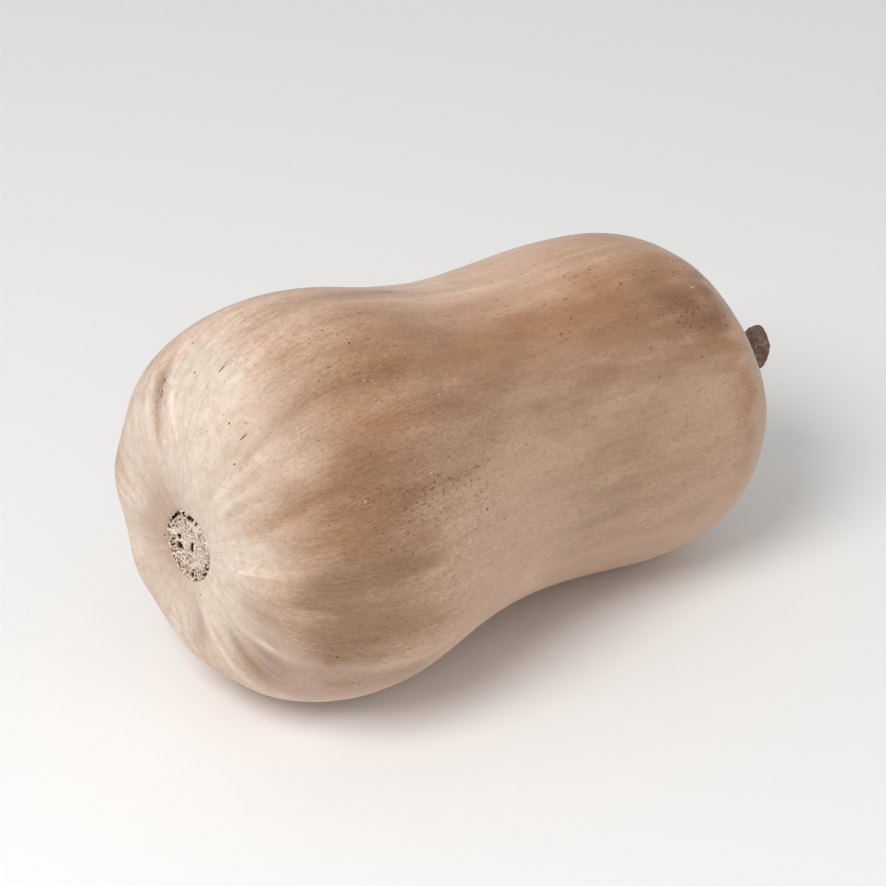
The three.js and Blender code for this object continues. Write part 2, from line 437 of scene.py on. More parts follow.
def corkCells(cells, seed, floor, mouth, shallow, deepest):  # walls between the cells, and the pits in some
    nearest, second, luck = grains(cells, seed)
    wall = 1 - smooth(second - nearest, *scarLook["wallGap"])
    return wall, (1 - smooth(nearest, floor, mouth)) * smooth(luck, shallow, deepest)


def scarHoles(flat, arc, around, deep):  # the depth once the holes, the slit and the rim's cracks are in
    look = scarLook
    up, across = flat[..., 0], flat[..., 1]
    size, share = look["holeRagged"]
    ragged = 1 + share * softNoise(flat, size, 71)
    for holeUp, holeAcross, radius, depth in look["holes"]:
        away = ragged * np.hypot(up - holeUp, across - holeAcross) / radius
        deep = np.maximum(deep, depth * (1 - smooth(away, *look["holeSlope"])))
    slit = look["slit"]
    slitUp = up - slit["up"]
    slitAcross = across - slit["across"] - slit["lean"] * slitUp
    away = np.hypot(slitUp / slit["halfLong"], slitAcross / slit["halfWide"])
    deep = np.maximum(deep, slit["depth"] * (1 - smooth(away, 0.5, 1.2)))
    size, far = look["crackWander"]
    inward, halfWidth = look["crackIn"]
    middle = scarEdge(around) - inward + far * softNoise(flat, size, 72)
    for at, reach, depth in look["cracks"]:
        groove = bell(arc - middle, halfWidth) * bell(apart(around, at), reach)
        deep = np.maximum(deep, depth * smooth(groove, 0.25, 0.8))
    return deep


def scarRelief(arc, around):  # height of the crust, how deep it is hollowed, and its pale walls, 0 to 1
    look = scarLook
    turn = np.radians(around)
    flat = np.stack([arc * np.cos(turn), arc * np.sin(turn)], -1)
    edge = scarEdge(around)
    rim = smooth(arc, *look["rimFrom"])
    rimAcross, rimAlong = look["rimGrain"]
    rimCells = np.stack([(arc - edge) / rimAcross, turn * look["radius"] / rimAlong], -1)
    wall, pit = corkCells(flat / look["grain"], 51, *look["pits"])
    rimWall, rimPit = corkCells(rimCells, 61, *look["rimPits"])
    calmAt, calmReach, calm = look["calmRim"]
    rimPit = rimPit * (1 - calm * bell(apart(around, calmAt), calmReach))
    wall = wall + (rimWall - wall) * rim
    pit = pit + (rimPit - pit) * rim
    deep = scarHoles(flat, arc, around, look["pitDepth"] * pit)

    # the ridges bridge the pits
    size, far = look["ridgeWander"]
    wavy = flat + far * np.stack([softNoise(flat, size, 75), softNoise(flat, size, 76)], -1)
    ridge = np.max([bell(awayFrom(course, wavy), look["ridgeWidth"]) for course in look["ridges"]], axis=0)
    deep = deep * (1 - 0.9 * ridge)
    wall = np.maximum(wall, 1.2 * ridge)

    swells = sum(height * softNoise(flat, size, 73 + k) for k, (size, height) in enumerate(look["swells"]))
    inside = 1 - smooth(arc, edge - 0.5, edge + 0.6)
    height = (look["swell"] + swells + look["wall"] * wall) * inside - deep - 2 * (1 - inside)
    return height, smooth(deep, 0.12, 1.0), wall * (1 - smooth(deep, 0, 0.3))


def makeScar():
    look = scarLook
    arc = np.linspace(0.12, look["radius"] + 1, look["rings"])[:, None]
    around = np.arange(look["sides"])[None] * 360 / look["sides"]
    height, hollow, wall = scarRelief(*np.broadcast_arrays(arc, around))
    rings, *_ = skinPoints(arc, around, height)
    back, *_ = skinPoints(arc[::-12], around, -look["thick"])
    rings = np.concatenate([rings, back])
    hollow = np.concatenate([hollow, np.ones(back.shape[:2])])
    wall = np.concatenate([wall, np.zeros(back.shape[:2])])
    middle, *_ = skinPoints(0.0, 0.0, look["middle"])
    under, *_ = skinPoints(0.0, 0.0, -look["thick"])
    marks = {"hollow": hollow, "wall": wall, "spot": rings}
    top = {"hollow": 0, "wall": 0, "spot": middle}
    bottom = {"hollow": 1, "wall": 0, "spot": under}
    return turnedMesh("blossomScar", rings, marks, [(middle, top), (under, bottom)])


def scarFinish():
    look = scarLook
    finish = Finish("scarCork")
    hollow, wall = finish.mark("hollow"), finish.mark("wall")
    spot = finish.place("spot")
    crumbSize, crumbHeight = look["crumb"]
    crumb = finish.noise(spot, crumbSize, 3, 0.6)
    cloud = finish.noise(spot, 3, 2, 0.5)

    # pale walls, browner where the crust crumbles, and painted shade in the hollows, brown in the shallow
    # ones and near black in the deepest
    base = finish.mix(finish.ease(wall + 0.6 * crumb, 0.4, 1.1), look["crust"], look["wallTone"])
    base = finish.mix(0.7 * finish.ease(crumb + 0.4 * cloud, 0.78, 0.5), base, look["hollowTone"])
    base = finish.mix(finish.ease(hollow, 0.02, 0.42), base, look["hollowTone"])
    base = finish.mix(finish.ease(hollow, 0.3, 0.75), base, look["deepTone"])
    finish.set(BaseColor=base, Roughness=look["roughness"], Normal=finish.bump(crumb, crumbHeight))
    return finish


scar = makeScar()
dress(scar, "fruit", scarFinish())


# The stub of stem, sunk in its cavity

stemShape = {
    "stations": [(-3, 8), (0, 9.4), (4, 8.2), (8, 6.8), (12, 5.8), (15.8, 7.3)],  # out of the cavity, radius
    "length": 17.2,
    "edge": 1.4,
    "hollow": 1.2,
    "slant": 2,
    "ridges": 5,
    "ridgeHeight": 0.25,
    "rise": -0.1,
    "sides": 200,
    "rows": (76, 12, 32),  # rings up the side, over the rim and across the cut
    "barkDrum": (7, 0.14),  # radius that the bark's textures are laid out on, and how they stretch along it
    "fibres": [(2.4, 0.14), (1.0, 0.09), (0.5, 0.05)],  # width, height
    "cork": {"grain": 1.3, "wall": 0.16, "swell": (2.6, 0.28), "pith": (1.3, 0.3)},  # of the cut face
    "splitWander": (5, 4),  # degrees, and how far along
    # splits in the bark as (around, depth, reach)
    "splits": [(20, 0.2, 5), (74, 0.3, 4), (118, 0.2, 5), (171, 0.25, 5), (228, 0.3, 4), (290, 0.3, 6)],
    "bark": colour(122, 93, 82),
    # a dark bark for fibres and specks, also the painted shade in the splits
    "barkDark": colour(84, 61, 51),
    "barkPale": colour(150, 132, 117),
    "barkWarm": colour(126, 94, 77),
    "cut": colour(150, 128, 106),
    "roughness": 0.88,
    "fibreRelief": 0.35,
}


def throughPoints(stations, count):  # an even curve through the stations
    points = np.array([stations[0], *stations, stations[-1]], float)
    curve = []
    for place in np.linspace(0, len(stations) - 1, count, endpoint=False):
        first, t = int(place), place % 1
        before, start, end, after = points[first:first + 4]
        leave, arrive = (end - before) / 2, (after - start) / 2
        square = 3 * end - 3 * start - 2 * leave - arrive
        cube = 2 * start - 2 * end + leave + arrive
        curve.append(cube * t**3 + square * t**2 + leave * t + start)
    return np.array(curve)


def stemOutline():  # along and out: up the side, over the rim, across the cut
    shape = stemShape
    sideRows, rimRows, cutRows = shape["rows"]
    side = throughPoints(shape["stations"], sideRows)
    top, rim = shape["stations"][-1]
    turn = np.linspace(0, math.pi / 2, rimRows, endpoint=False)
    over = top + (shape["length"] - top) * np.sin(turn)
    edge = np.stack([over, rim - shape["edge"] * (1 - np.cos(turn))], 1)
    across = np.linspace(rim - shape["edge"], 0.25, cutRows)
    sunk = shape["hollow"] * (1 - (across / across[0]) ** 2)
    return np.concatenate([side, edge, np.stack([shape["length"] - sunk, across], 1)])


def barkDrum(along, around):
    radius, turn = stemShape["barkDrum"][0], np.radians(around)
    return np.stack(np.broadcast_arrays(radius * np.cos(turn), radius * np.sin(turn), along), -1)


def cutRelief(out, around):  # the corky face of the cut, with the pith sunk in its middle
    cork = stemShape["cork"]
    turn = np.radians(around)
    face = np.stack(np.broadcast_arrays(out * np.cos(turn), out * np.sin(turn)), -1)
    nearest, second, _ = grains(face / cork["grain"], 91)
    size, height = cork["swell"]
    pithReach, pithDepth = cork["pith"]
    walls = cork["wall"] * (1 - smooth(second - nearest, 0, 0.3))
    return height * softNoise(face, size, 92) + walls - pithDepth * bell(out, pithReach)


def stemRelief(along, out, around):  # height of the surface, how open the splits are, the share of the cut
    shape = stemShape
    length, rim = shape["length"], shape["stations"][-1][1]
    cut = smooth(along, length - 1.6, length - 0.2) * (1 - smooth(out, rim - 1.6, rim - 0.6))
    drum = barkDrum(along * shape["barkDrum"][1], around)
    fibres = sum(high * softNoise(drum, wide, 80 + k) for k, (wide, high) in enumerate(shape["fibres"]))
    wander, wanderLong = shape["splitWander"]
    deep = 0
    for at, depth, reach in shape["splits"]:
        course = at + wander * np.sin(along / wanderLong + at)
        deep = deep + depth * bell(apart(around, course), reach) * smooth(along, 1, 12)
    bark = fibres - deep
    height = (1 - cut) * bark + cut * (cutRelief(out, around) - 0.6 * deep * smooth(out, 1, rim))
    return np.broadcast_arrays(height, np.clip(deep / 0.7, 0, 1), cut)


def makeStem():
    shape = stemShape
    points = stemOutline()
    around = np.arange(shape["sides"])[None] * 360 / shape["sides"]
    along, out = points[:, :1], points[:, 1:]
    step = np.gradient(points, axis=0)
    face = np.stack([-step[:, 1], step[:, 0]], 1) / np.hypot(*step.T)[:, None]
    height, split, cut = stemRelief(along, out, around)
    turn = np.radians(around)
    rim = shape["stations"][-1][1]
    ridge = shape["ridgeHeight"] * np.cos(shape["ridges"] * turn) * smooth(out, 0, rim)
    reach = out + ridge + face[:, 1:] * height
    x = along + face[:, :1] * height
    x = x + shape["slant"] * np.cos(turn) * (out / rim) * smooth(along, 0, shape["length"])
    rings = np.stack([x, -reach * np.sin(turn), reach * np.cos(turn)], -1)
    ends = [np.array([shape["stations"][0][0], 0, 0]), np.array([x[-1].mean(), 0, 0])]
    drum = barkDrum(along - out, around)
    marks = {"split": split, "cut": cut, "fibre": drum, "spot": rings}
    poles = []
    for end, share in zip(ends, (0, 1)):
        poles.append((seated(end), {"split": 0, "cut": share, "fibre": drum[-share, 0], "spot": end}))
    return turnedMesh("stemStub", seated(rings), marks, poles)


def seated(points):  # from the stem's own axis to its seat in the fruit
    (side, lift), (sideBefore, liftBefore) = spine(fruitLength), spine(fruitLength - 10)
    way = Vector((10, side - sideBefore, lift - liftBefore))
    turn = np.array(Vector((1, 0, 0)).rotation_difference(way).to_matrix())
    foot = np.array([fruitLength - fruitShape["stemCavity"][0], side, lift + stemShape["rise"]])
    return points @ turn.T + foot


def stemFinish():
    look = stemShape
    finish = Finish("stemWood")
    split, cut = finish.mark("split"), finish.mark("cut")
    fibre = finish.noise(finish.place("fibre", (1, 1, 0.12)), 0.55, 4, 0.6)
    strand = finish.noise(finish.place("fibre", (1, 1, 0.1)), 1.8, 3, 0.55)
    blotch = finish.noise(finish.place("spot"), 3.4, 3, 0.6)
    speck = finish.noise(finish.place("spot"), 0.6, 3, 0.6)

    # grey-brown bark with warm strands, pale blotches and dark specks
    bark = finish.mix(finish.ease(strand, 0.35, 0.68), look["bark"], look["barkWarm"])
    bark = finish.mix(finish.ease(blotch + 0.4 * fibre, 0.62, 0.86), bark, look["barkPale"])
    bark = finish.mix(0.45 * finish.ease(fibre, 0.52, 0.36), bark, look["barkDark"])
    bark = finish.mix(0.6 * finish.ease(speck, 0.52, 0.4), bark, look["barkDark"])
    face = finish.mix(finish.ease(speck + 0.5 * blotch, 0.85, 0.6), look["cut"], look["barkDark"])
    base = finish.mix(cut, bark, face)
    # painted shade in the bark's splits, darker the more open they are
    base = finish.mix(finish.ease(split, 0.25, 0.95), base, look["barkDark"])
    height = (1 - cut) * fibre + cut * speck
    finish.set(BaseColor=base, Roughness=look["roughness"], Normal=finish.bump(height, look["fibreRelief"]))
    return finish


stem = makeStem()
dress(stem, "stem", stemFinish())


# The rind

rindLook = {
    "sides": 390,
    "rings": {"lip": 18, "bulbEnd": 16, "body": 170, "cavity": 28},
    "endReach": 26,  # rings lie closer than this to either end
    "lip": 1.7,  # how deep the skin rolls under the scar
    "sunk": 0.19,  # keeps the skin's relief inside the fruit's box
    "streakRelief": (3.2, 0.1),  # size, height
    "unevenRelief": [(24, 0.3), (9, 0.12)],
    "pleatRelief": (6, 5, 0.14),  # how far from the scar, size, height
    "streakEnd": (80, 170),  # where the bulb's streaks fade out
    "neckStreaks": 0.2,
    "wander": [(12, 2.2), (4, 1.2)],  # how the edges of the patches stray, as (size, distance)
    "creamSoft": (26, 24),  # how softly the cream ends, before and after its edge
    "collar": 15,
    "roughness": 0.5,
    "sheen": 0.09,
    "sheenRoughness": 0.4,
    "bump": 0.35,
    # where each texture is read, its stretch, how far it is moved, its size, detail and roughness
    "textures": {
        "hair": ("skin", (1, 1, 0.06), (0, 0, 0), 0.8, 3, 0.6),
        "strand": ("skin", (1, 1, 0.1), (40, 0, 0), 2.6, 4, 0.6),
        "band": ("skin", (1, 1, 0.16), (0, 70, 0), 8, 3, 0.55),
        "cloud": ("spot", (0.6, 1, 1), (0, 0, 0), 14, 4, 0.6),
        "mottle": ("spot", (0.7, 1, 1), (5, 9, 2), 3.2, 4, 0.65),
        "peel": ("skin", (1, 1, 0.32), (0, 0, 0), 0.62, 2, 0.7),
        "fleck": ("spot", (0.5, 1, 1), (2, 8, 4), 1.5, 3, 0.7),
        "dust": ("spot", (0.55, 1, 1), (7, 3, 1), 0.9, 2, 0.6),
    },
    "tan": colour(205, 170, 144),
    # pale, also the painted rim light along the fruit's top edge
    "pale": colour(236, 202, 177),
    # a pinkish skin, also the painted rim light on the fruit's edges
    "roseAndRimLight": colour(221, 197, 182),
    "cream": colour(224, 205, 188),
    # a duskier skin, also the painted shade round the scar
    "duskAndPaintedShade": colour(188, 158, 140),
    "amber": colour(182, 131, 92),
    "olive": colour(144, 114, 87),
    "umber": colour(151, 112, 81),
    "russet": colour(132, 90, 62),
    "shade": (0.80, 0.745, 0.69, 1),
    # a lighter tint for the grain, also the painted highlight of the crest lines
    "bloom": (1.20, 1.25, 1.30, 1),
    "speck": colour(84, 62, 50),
    # how far the cream of the blossom end reaches along the skin, as (around, reach)
    "creamReach": [
        (-60, 47), (-42, 58), (-28, 51), (-16, 80), (0, 76), (14, 68), (24, 66), (38, 61), (48, 66),
        (58, 38), (70, 53), (85, 37), (95, 42), (105, 37), (115, 70), (126, 32), (138, 46), (152, 47),
        (170, 40), (200, 44), (225, 32), (245, 50), (270, 38), (288, 50),
    ],
    # soft patches, each (along the skin, around, length, width, strength)
    "patches": {
        # pale patches: those along the top edge are painted rim light, and the long narrow one on top is a
        # painted highlight on the rib
        "pale": [
            (151, 118, 9, 22, 0.4), (105, -12, 38, 6, 0.3), (160, -18, 27, 14, 0.9),
            (205, -13, 19, 39, 0.8), (104, 92, 13, 13, 0.4), (169, 5, 91, 7, 0.6), (72, -21, 23, 13, 1.3),
            (48, 37, 9, 5, 0.3), (97, 16, 10, 6, 0.5), (160, 23, 9, 5, 0.3), (38, 235, 9, 9, 0.25),
            (190, 14, 10, 5, 0.5), (140, 210, 40, 20, 0.5), (205, 250, 30, 24, 0.5), (95, 290, 26, 14, 0.4),
        ],
        # pinkish patches: those low on the bulb's front edge, on the top edge and round the lip by the stem
        # are painted light on the rims
        "roseAndRimLight": [
            (268, 50, 9, 60, 1), (34, 126, 13, 9, 0.6), (117, 126, 33, 7, 0.4), (73, -29, 18, 17, 0.4),
            (99, 162, 25, 15, 1.3), (60, 150, 33, 6, 1.1), (110, 245, 26, 12, 0.5), (70, 210, 20, 14, 0.5),
        ],
        # dusky patches: the broad one round the scar and the one above it are painted shade of the dimple
        "duskAndPaintedShade": [
            (0, -90, 26, 100, 1.2), (13, -49, 27, 14, 0.3), (73, 129, 13, 13, 1.3), (54, 125, 20, 32, 0.9),
            (30, 172, 10, 10, 0.6), (150, 150, 29, 12, 0.2),
        ],
        "amber": [
            (90, 43, 19, 12, 0.75), (104, 24, 21, 8, 0.5), (193, 28, 22, 11, 0.7), (128, 42, 20, 23, 0.4),
            (152, 28, 22, 19, 0.5), (213, 8, 30, 39, 0.6), (37, -28, 6, 4, 0.7), (233, 57, 6, 54, 0.6),
            (168, 20, 15, 7, 0.4), (112, 7, 21, 20, 0.4), (161, 7, 41, 6, 0.3), (71, 127, 13, 11, 0.4),
            (120, 272, 30, 14, 0.7), (180, 230, 24, 14, 0.6), (86, 300, 17, 12, 0.4),
            (90, 190, 20, 14, 0.5), (200, 290, 18, 14, 0.5),
        ],
        "olive": [
            (67, 37, 8, 6, 0.4), (56, 45, 8, 6, 0.15), (183, 78, 12, 9, 0.1), (78, 79, 21, 12, 0.8),
            (65, 100, 22, 16, 0.85), (41, 136, 16, 15, 0.6), (92, 125, 21, 11, 0.5), (191, 82, 49, 69, 0.5),
            (44, 65, 22, 12, 0.35), (32, 107, 13, 14, 0.4), (85, 240, 20, 14, 0.5), (185, 200, 20, 14, 0.4),
            (60, 285, 14, 10, 0.4),
        ],
        "umber": [
            (78, 55, 26, 11, 0.9), (75, 68, 22, 6, 0.6), (82, 28, 61, 19, 0.5), (140, 47, 29, 12, 0.4),
            (135, 16, 12, 10, 0.2), (163, 30, 14, 9, 0.4), (189, 33, 9, 12, 0.3), (214, 38, 17, 20, 0.65),
            (224, 21, 9, 21, 0.5), (243, 28, 6, 12, 0.7), (232, 25, 8, 8, 0.3), (234, 44, 8, 5, 0.7),
            (226, 55, 10, 6, 0.3), (45, -27, 15, 7, 0.4), (53, -27, 12, 3.5, 0.3), (181, 50, 30, 11, 0.4),
            (120, 63, 23, 8, 0.2), (162, 67, 15, 9, 0.2), (90, 90, 26, 23, 0.6), (38, 50, 17, 7, 0.2),
            (63, 110, 4, 4, 0.5), (74, 125, 4, 4, 0.4), (134, -9, 12, 4, 0.4), (110, -8, 30, 6, 0.3),
            (115, 235, 22, 12, 0.5), (75, 262, 18, 9, 0.6), (150, 262, 22, 12, 0.5),
            (210, 215, 16, 16, 0.5), (169, 151, 18, 10, 0.3), (68, 180, 14, 10, 0.4),
            (225, 280, 14, 14, 0.5),
        ],
        "russet": [
            (218, 35, 12, 8, 0.3), (238, 40, 8, 6, 0.6), (132, 23, 9, 5, 0.2), (244, 15, 9, 14, 0.4),
            (227, 34, 8, 8, 0.5), (160, 270, 12, 7, 0.3),
        ],
        "dusty": [
            (92, 45, 34, 45, 0.45), (228, 36, 18, 14, 0.5), (108, 64, 16, 4, 1), (121, 70, 8, 8, 0.8),
            (62, 108, 10, 9, 0.8), (50, -26, 14, 5, 1.5), (214, 34, 18, 14, 0.5), (229, 44, 8, 9, 0.8),
            (92, 72, 13, 12, 0.5), (76, 57, 12, 8, 0.5), (90, 118, 14, 12, 0.5), (104, 24, 22, 10, 0.5),
            (30, -2, 10, 8, 0.3), (130, 235, 14, 10, 0.7), (70, 255, 14, 10, 0.5), (190, 300, 14, 10, 0.5),
        ],
    },
    "lineRelief": 0.16,
    "lineFade": 6,
    # fine lines along the skin, each (half width, strength, course), the course as (along, around); the
    # light lines run on raised crests, pale with a painted highlight, and the dark lines in sunk grooves,
    # brown with painted shade
    "lightLines": [
        (1.3, 0.9, [(75, -1), (100, 0.5), (145, 0), (170, -1), (200, -1.5), (228, -4)]),
        (2.4, 0.7, [(28, 34), (50, 35.5), (75, 34.5), (100, 36), (130, 37)]),
        (1.8, 1.2, [(32, 42.5), (45, 43), (56, 42)]),
        (2, 0.7, [(56, 46), (75, 44)]),
        (2, 0.6, [(25, 82), (38, 79), (52, 77)]),
        (2.2, 1.3, [(33, 124), (40, 119), (50, 115), (62, 114), (82, 114.5), (104, 116)]),
        (2.6, 1.2, [(24, 159), (30, 158), (40, 154), (50, 151), (62, 148)]),
        (2.2, 1, [(36, -9), (47, -17.5), (55, -21), (63, -25), (72, -28)]),
        (1.6, 0.5, [(62, 8), (80, 5), (95, 4)]),
        (2, 0.5, [(160, 15), (185, 13), (200, 14)]),
        (2.4, 0.8, [(40, 195), (70, 197), (100, 196)]),
        (1.8, 0.7, [(60, 236), (90, 233), (140, 235)]),
        (2.2, 0.9, [(35, 272), (60, 275), (130, 276)]),
        (1.8, 0.7, [(50, 312), (90, 309), (120, 310)]),
    ],
    "darkLines": [
        (2, 1, [(44, 34), (55, 30.5), (66, 28), (80, 27), (95, 29), (110, 28.5)]),
        (2, 0.7, [(76, -3.5), (100, -6), (120, -7), (145, -8)]),
        (2, 0.6, [(26, 47.5), (40, 46.5)]),
        (2.2, 0.9, [(38, 60), (50, 57), (62, 55), (76, 53)]),
        (1.4, 0.6, [(88, 42), (110, 43), (126, 44)]),
        (1.4, 0.7, [(86, 63.5), (100, 62.5), (120, 63), (134, 62)]),
        (1.4, 0.7, [(98, 7), (108, 8), (120, 8)]),
        (1.6, 0.6, [(72, 12), (85, 12.5), (95, 12)]),
        (2.6, 0.5, [(162, 22), (178, 21), (190, 24), (208, 23)]),
        (2.4, 0.5, [(158, 53), (178, 52)]),
        (3.4, 0.8, [(38, 124), (50, 123)]),
        (3, 0.7, [(30, 143), (40, 141), (52, 137)]),
        (2.4, 0.7, [(27, 153), (38, 150)]),
        (2.2, 0.7, [(52, 103), (66, 105), (80, 104)]),
        (2.2, 0.5, [(56, 84), (75, 81), (90, 80)]),
        (2.2, 0.8, [(50, 203), (80, 206)]),
        (2, 0.8, [(45, 246), (75, 243), (110, 244)]),
        (2, 0.7, [(60, 290), (90, 288)]),
        (2.2, 0.5, [(150, 282), (190, 280)]),
    ],
}


def rindRings():  # places of the rings, close together by the scar and in the stem's cavity
    counts, endReach = rindLook["rings"], rindLook["endReach"]
    radius = scarLook["radius"]
    inner, outer = radius - 2.5, radius + 2
    under = np.linspace(2, inner, 4, endpoint=False)
    lip = np.linspace(inner, outer, counts["lip"], endpoint=False)
    bulbEnd = np.linspace(outer, endReach, counts["bulbEnd"], endpoint=False)
    body = np.linspace(endReach, outlineEnd - endReach, counts["body"], endpoint=False)
    cavity = np.linspace(outlineEnd - endReach, outlineEnd - 0.8, counts["cavity"])
    return np.concatenate([under, lip, bulbEnd, body, cavity])


def streaky(arc):  # the bulb is finely streaked, and the neck hardly
    return 1 - (1 - rindLook["neckStreaks"]) * smooth(arc, *rindLook["streakEnd"])


def lines(along, around, courses):  # lines along the skin, fading at their ends
    fade = rindLook["lineFade"]
    total = 0
    for halfWidth, strength, course in courses:
        at, way = np.array(course, float).T
        begun = smooth(along, at[0] - fade, at[0] + fade)
        present = begun * (1 - smooth(along, at[-1] - fade, at[-1] + fade))
        total = total + strength * present * bell(apart(around, np.interp(along, at, way)), halfWidth)
    return total


def rindRelief(arc, around):
    look = rindLook
    edge = scarEdge(around)
    drum = skinPlace(arc, around)
    size, height = look["streakRelief"]
    relief = height * streaky(arc) * softNoise(drum * (1, 1, 0.09), size, 11)
    reach, size, height = look["pleatRelief"]
    relief = relief + height * bell(arc - edge - 2, reach) * softNoise(drum * (1, 1, 0.15), size, 12)
    for k, (size, height) in enumerate(look["unevenRelief"]):
        relief = relief + height * softNoise(drum * (1, 1, 0.6), size, 13 + k)
    raised = lines(arc, around, look["lightLines"]) - lines(arc, around, look["darkLines"])
    relief = (relief + look["lineRelief"] * raised) * smooth(arc, 9, 16) - look["sunk"]
    return relief - look["lip"] * (1 - smooth(arc, edge - 1.3, edge + 0.5))


def creamShare(arc, around):
    places = sorted((at % 360, reach) for at, reach in rindLook["creamReach"])
    reachAt, reach = np.array(places, float).T
    edge = np.interp(around, reachAt, reach, period=360)
    before, after = rindLook["creamSoft"]
    return 1 - smooth(arc, edge - before, edge + after)


def rindMarks(arc, around, rings):
    look = rindLook
    drum = skinPlace(arc, around)
    strayAlong, strayAround = 0, 0
    for k, (size, distance) in enumerate(look["wander"]):
        strayAlong = strayAlong + 3 * distance * softNoise(drum * (1, 1, 0.3), size, 21 + k)
        strayAround = strayAround + distance * softNoise(drum * (1, 1, 0.3), size, 31 + k)
    settled = smooth(arc, 8, 40)
    along, turned = arc + strayAlong * settled, around + strayAround * settled
    marks = {name: patches(along, turned, spots) for name, spots in look["patches"].items()}
    marks["cream"] = creamShare(along, turned)
    marks["light"] = lines(arc, around, look["lightLines"])
    marks["dark"] = lines(arc, around, look["darkLines"])
    marks["streaky"] = streaky(arc) + 0 * around
    marks["collar"] = bell(outlineEnd - arc, look["collar"]) + 0 * around
    return {**marks, "skin": drum, "spot": rings}


def makeRind():
    count = rindLook["sides"]
    arc, around = np.broadcast_arrays(rindRings()[:, None], np.arange(count)[None] * 360 / count)
    rings, *_ = skinPoints(arc, around, rindRelief(arc, around))
    marks = rindMarks(arc, around, rings)
    poles = []
    for end in (0.0, outlineEnd):
        at = np.array(end), np.array(0.0)
        point, *_ = skinPoints(*at, rindRelief(*at))
        poles.append((point, rindMarks(*at, point)))
    return turnedMesh("rind", rings, marks, poles)


def rindFinish():
    look = rindLook
    finish = Finish("rindSkin")
    textures = {name: finish.texture(*values) for name, values in look["textures"].items()}
    hair, strand, band = textures["hair"] - 0.5, textures["strand"] - 0.5, textures["band"] - 0.5
    cloud, mottle, peel = textures["cloud"] - 0.5, textures["mottle"] - 0.5, textures["peel"] - 0.5
    streaks = finish.mark("streaky")

    # the ground colour and its soft patches, each a little broken up; some pale and pinkish patches on the
    # edges are painted light, and the dusky ones round the scar are painted shade
    broken = 1 + band * 1.4 + cloud * 1.2 + mottle * 0.6 + strand * streaks * 0.8
    skin = look["tan"]
    for name in ["pale", "roseAndRimLight", "cream", "duskAndPaintedShade", "amber", "olive", "umber", "russet"]:
        skin = finish.mix(finish.ease(finish.mark(name) * broken, 0, 1), skin, look[name])

    # fine streaks, lines and mottling, darker and browner or paler than the skin round them; along the crest
    # lines the paler colour is partly a painted highlight, along the groove lines the darker colour is
    # partly painted shade
    calm = 1 - 0.6 * finish.mark("cream")
    grain = (hair * (streaks * 0.75 + 0.15) + strand * (streaks * 0.85 + 0.15)) * calm + band * 0.25
    grain = grain + (finish.mark("light") - finish.mark("dark")) * (0.34 + strand * 0.8 + mottle * 0.6)
    grain = grain + mottle * (streaks * 0.9 + 0.35) + peel * (streaks * 0.9 + 1.1) * calm
    shaded = finish.mix(1.0, skin, look["shade"], "MULTIPLY")
    lighter = finish.mix(1.0, skin, look["bloom"], "MULTIPLY")
    skin = finish.mix(grain + 0.5, shaded, lighter)

    # small brown flecks where the skin is brown
    brown = finish.mark("amber") + finish.mark("umber") + finish.mark("olive") + finish.mark("russet")
    fleck = finish.ease(textures["fleck"] + 0.05 * brown, 0.6, 0.74)
    skin = finish.mix(fleck * 0.5, skin, look["umber"])

    # specks of dust and dirt, and olive hairs round the stem
    dust = finish.ease(textures["dust"] + finish.mark("dusty") * 0.1, 0.7, 0.77)
    skin = finish.mix(dust * 0.7, skin, look["speck"])
    skin = finish.mix(finish.mark("collar") * finish.ease(hair, 0.15, -0.15) * 0.6, skin, look["olive"])

    height = (hair * 0.25 + strand * 0.4) * streaks + mottle * 0.35 + peel * 0.35
    finish.set(BaseColor=skin, Roughness=look["roughness"] + mottle * 0.3, SheenWeight=look["sheen"],
               SheenRoughness=look["sheenRoughness"], Normal=finish.bump(height, look["bump"]))
    return finish


rind = makeRind()
dress(rind, "fruit", rindFinish())


# Small blemishes lying on the skin: dry scabs, beads of dried sap, pale scratches

